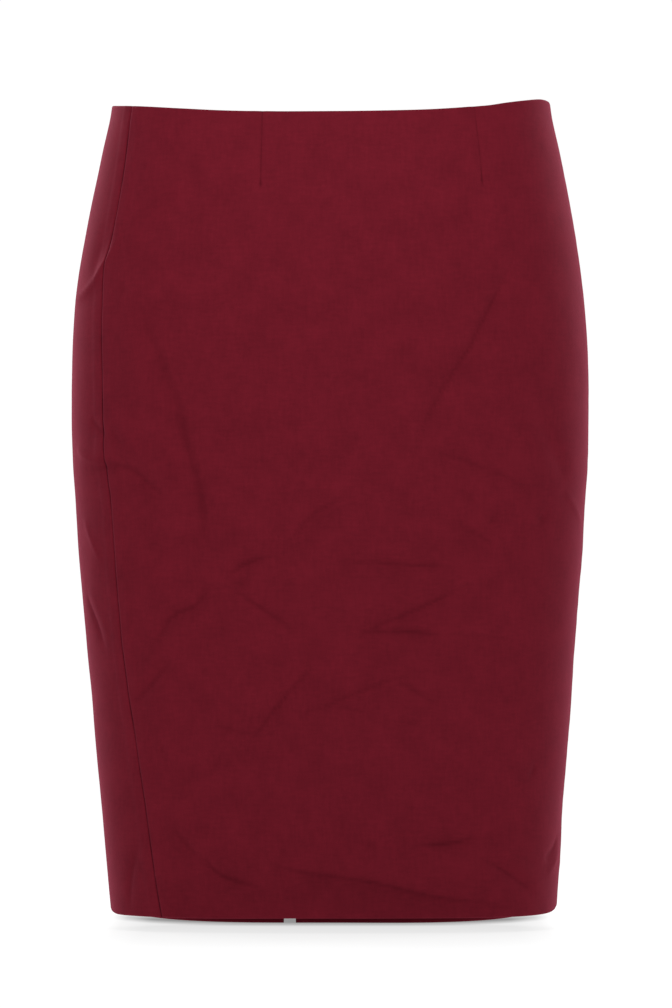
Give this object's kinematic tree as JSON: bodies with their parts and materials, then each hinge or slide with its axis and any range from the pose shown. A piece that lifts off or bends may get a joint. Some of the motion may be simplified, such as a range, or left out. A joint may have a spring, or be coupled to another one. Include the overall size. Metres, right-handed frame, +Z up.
{
  "type": "pencil skirt",
  "caption": "Knee-length burgundy pencil skirt, filled out with no wearer: darted waist, side seams, concealed centre-back zip with a swinging pull, and a walking slit.",
  "frame": {"origin": "the middle of the waist, level with the side of the waist edge, where the wearer's waist fills and holds the skirt", "axes": "+Z up, +X to the viewer's right as in the picture, -Y out of the front, +Y out of the back with the zip"},
  "size_m": [0.3772, 0.244, 0.6014],
  "materials": {
    "cloth": "burgundy cotton sateen with stretch, fine even weave, soft sheen that brightens at grazing angles",
    "zip_tape": "woven polyester zip tape, dark burgundy, matt",
    "zip_coil": "dark burgundy nylon coil",
    "zip_metal": "lacquered to match the cloth, small bright wear at the edges"
  },
  "bodies": {
    "skirt": {"front_panel": "cloth", "back_panel_right": "cloth", "back_panel_left": "cloth", "zip_tape_right": "zip_tape", "zip_tape_left": "zip_tape", "zip_coil": "zip_coil", "zip_slider": "zip_metal"},
    "pull": {"zip_pull": "zip_metal"}
  },
  "joints": [
    {"name": "pull_swing", "type": "hinge", "parent": "skirt", "child": "pull", "pos_m": [-0.03193, 0.10087, -0.01109], "axis": [0.9956, 0.0926, -0.012], "range_deg": [0, 150]}
  ]
}
